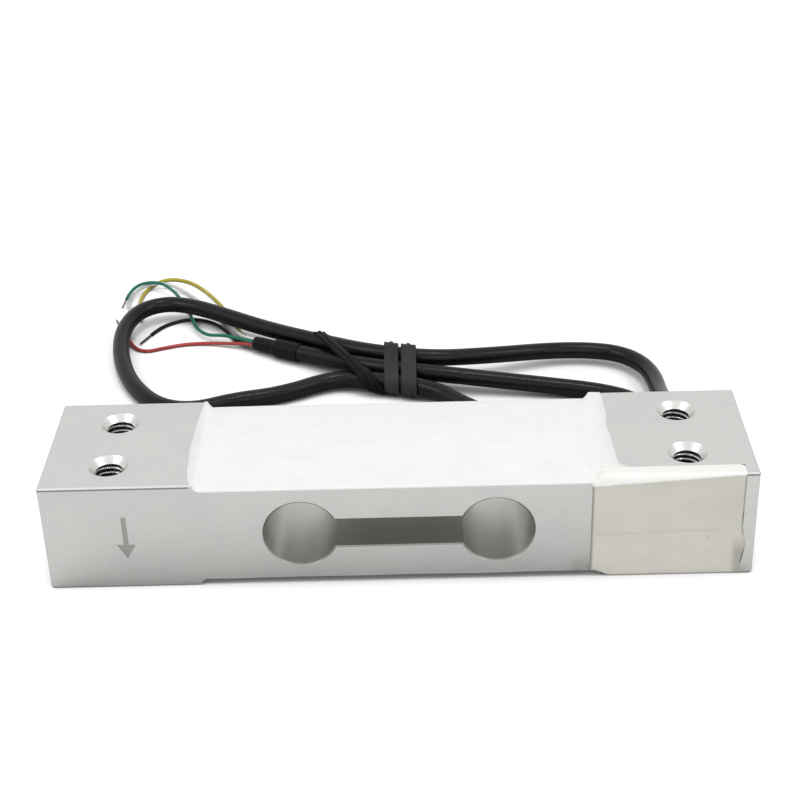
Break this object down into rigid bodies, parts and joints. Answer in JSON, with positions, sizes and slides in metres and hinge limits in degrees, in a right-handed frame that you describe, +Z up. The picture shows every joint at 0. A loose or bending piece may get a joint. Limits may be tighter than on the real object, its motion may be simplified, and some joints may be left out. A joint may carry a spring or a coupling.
{
  "type": "single point load cell",
  "caption": "Aluminium binocular-beam load cell with silicone-covered gauges, threaded mounting holes and a tied cable with bare-ended leads.",
  "frame": {"origin": "centre of the beam's underside, between its two ends and its two sides", "axes": "+X along the beam towards its fixed, cable end; +Y towards the face the cable leaves by; +Z up, against the load"},
  "size_m": [0.1353, 0.1295, 0.0222],
  "materials": {
    "beam_aluminium": "fine-milled, softly satin",
    "gauge_film": "amber film",
    "solder": "bright solder",
    "enamelled_wire": "red enamel",
    "board_green": "green solder mask",
    "resistor_black": "glazed ceramic",
    "white_silicone": "smooth white silicone",
    "ivory_silicone": "smooth ivory-grey silicone",
    "cable_black": "satin black jacket",
    "sleeve_black": "matte shrink tubing",
    "tie_grey": "dark grey ribbed plastic",
    "lead_white": "white insulation",
    "lead_green": "green insulation",
    "lead_red": "red insulation",
    "lead_black": "black insulation",
    "lead_yellow": "yellow insulation",
    "tinned_copper": "dull tinned strands"
  },
  "bodies": {
    "root": {"beam_body": "beam_aluminium", "strain_gauge_top_left": "gauge_film", "strain_gauge_top_right": "gauge_film", "strain_gauge_bottom_left": "gauge_film", "strain_gauge_bottom_right": "gauge_film", "solder_pads_top": "solder", "solder_pads_bottom": "solder", "gauge_wires_top": "enamelled_wire", "gauge_wires_bottom": "enamelled_wire", "trim_board": "board_green", "trim_resistors": "resistor_black", "lead_solder_joints": "solder", "wire_solder_joints": "solder", "inner_lead_white": "lead_white", "inner_lead_green": "lead_green", "inner_lead_red": "lead_red", "inner_lead_black": "lead_black", "inner_lead_yellow": "lead_yellow", "top_sealant": "white_silicone", "bottom_sealant": "white_silicone", "side_sealant": "ivory_silicone", "exit_bead": "ivory_silicone", "cable_jacket": "cable_black", "shrink_sleeve": "sleeve_black", "twist_tie": "tie_grey", "lead_white": "lead_white", "lead_green": "lead_green", "lead_red": "lead_red", "lead_black": "lead_black", "lead_yellow": "lead_yellow", "tip_white": "tinned_copper", "tip_green": "tinned_copper", "tip_red": "tinned_copper", "tip_black": "tinned_copper", "tip_yellow": "tinned_copper"}
  },
  "joints": []
}
